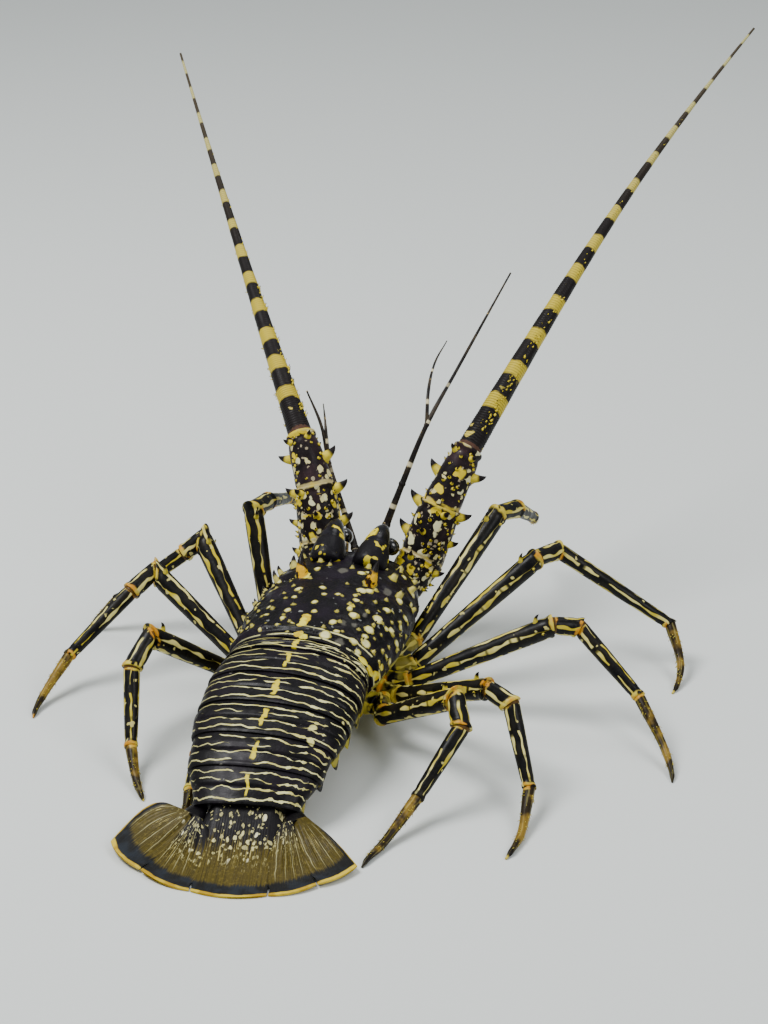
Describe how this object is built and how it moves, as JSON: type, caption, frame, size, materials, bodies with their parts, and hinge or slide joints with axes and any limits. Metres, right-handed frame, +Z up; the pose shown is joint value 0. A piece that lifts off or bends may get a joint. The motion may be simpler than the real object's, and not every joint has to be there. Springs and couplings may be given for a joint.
{
  "type": "spiny lobster model",
  "caption": "Life-size still model of a spiny lobster walking, with long raised antennae, spiny carapace, ringed tail and open tail fan resting on the floor.",
  "frame": {"origin": "on the floor under the middle of the model's bounding box", "axes": "+Y is the way the lobster faces, +X is its right side, +Z is up"},
  "size_m": [0.3866, 0.5898, 0.2596],
  "materials": {
    "shell": "black to blackish purple shell with cream and yellow spots and broken cross lines, slightly wet gloss",
    "leg_shell": "black leg shell with lengthwise cream and yellow stripes, yellow joints and olive yellow hips",
    "fan_shell": "olive brown ribbed fan, black and white spotted at the root, dark band and yellow orange rim at the edge",
    "antenna_shell": "brown purple antenna segments with pale dots, flagella ringed black and yellow",
    "eye_ball": "glossy black eye with a pale ring at the stalk"
  },
  "bodies": {
    "root": {"carapace": "shell", "abdomen_1": "shell", "abdomen_2": "shell", "abdomen_3": "shell", "abdomen_4": "shell", "abdomen_5": "shell", "abdomen_6": "shell", "telson": "fan_shell", "uropod_inner_right": "fan_shell", "uropod_inner_left": "fan_shell", "uropod_outer_right": "fan_shell", "uropod_outer_left": "fan_shell", "sternum": "leg_shell", "leg_1_right_upper": "leg_shell", "leg_1_right_shin": "leg_shell", "leg_1_right_claw": "leg_shell", "leg_2_right_upper": "leg_shell", "leg_2_right_shin": "leg_shell", "leg_2_right_claw": "leg_shell", "leg_3_right_upper": "leg_shell", "leg_3_right_shin": "leg_shell", "leg_3_right_claw": "leg_shell", "leg_4_right_upper": "leg_shell", "leg_4_right_shin": "leg_shell", "leg_4_right_claw": "leg_shell", "leg_5_right_upper": "leg_shell", "leg_5_right_shin": "leg_shell", "leg_5_right_claw": "leg_shell", "leg_1_left_upper": "leg_shell", "leg_1_left_shin": "leg_shell", "leg_1_left_claw": "leg_shell", "leg_2_left_upper": "leg_shell", "leg_2_left_shin": "leg_shell", "leg_2_left_claw": "leg_shell", "leg_3_left_upper": "leg_shell", "leg_3_left_shin": "leg_shell", "leg_3_left_claw": "leg_shell", "leg_4_left_upper": "leg_shell", "leg_4_left_shin": "leg_shell", "leg_4_left_claw": "leg_shell", "leg_5_left_upper": "leg_shell", "leg_5_left_shin": "leg_shell", "leg_5_left_claw": "leg_shell", "maxilliped_right": "leg_shell", "maxilliped_left": "leg_shell", "antenna_right_base": "antenna_shell", "antenna_right_arm": "antenna_shell", "antenna_right_wrist": "antenna_shell", "antenna_right_flagellum": "antenna_shell", "antenna_left_base": "antenna_shell", "antenna_left_arm": "antenna_shell", "antenna_left_wrist": "antenna_shell", "antenna_left_flagellum": "antenna_shell", "antennule_right": "antenna_shell", "antennule_left": "antenna_shell", "horn_right": "shell", "horn_left": "shell", "eye_right": "eye_ball", "eye_left": "eye_ball"}
  },
  "joints": []
}
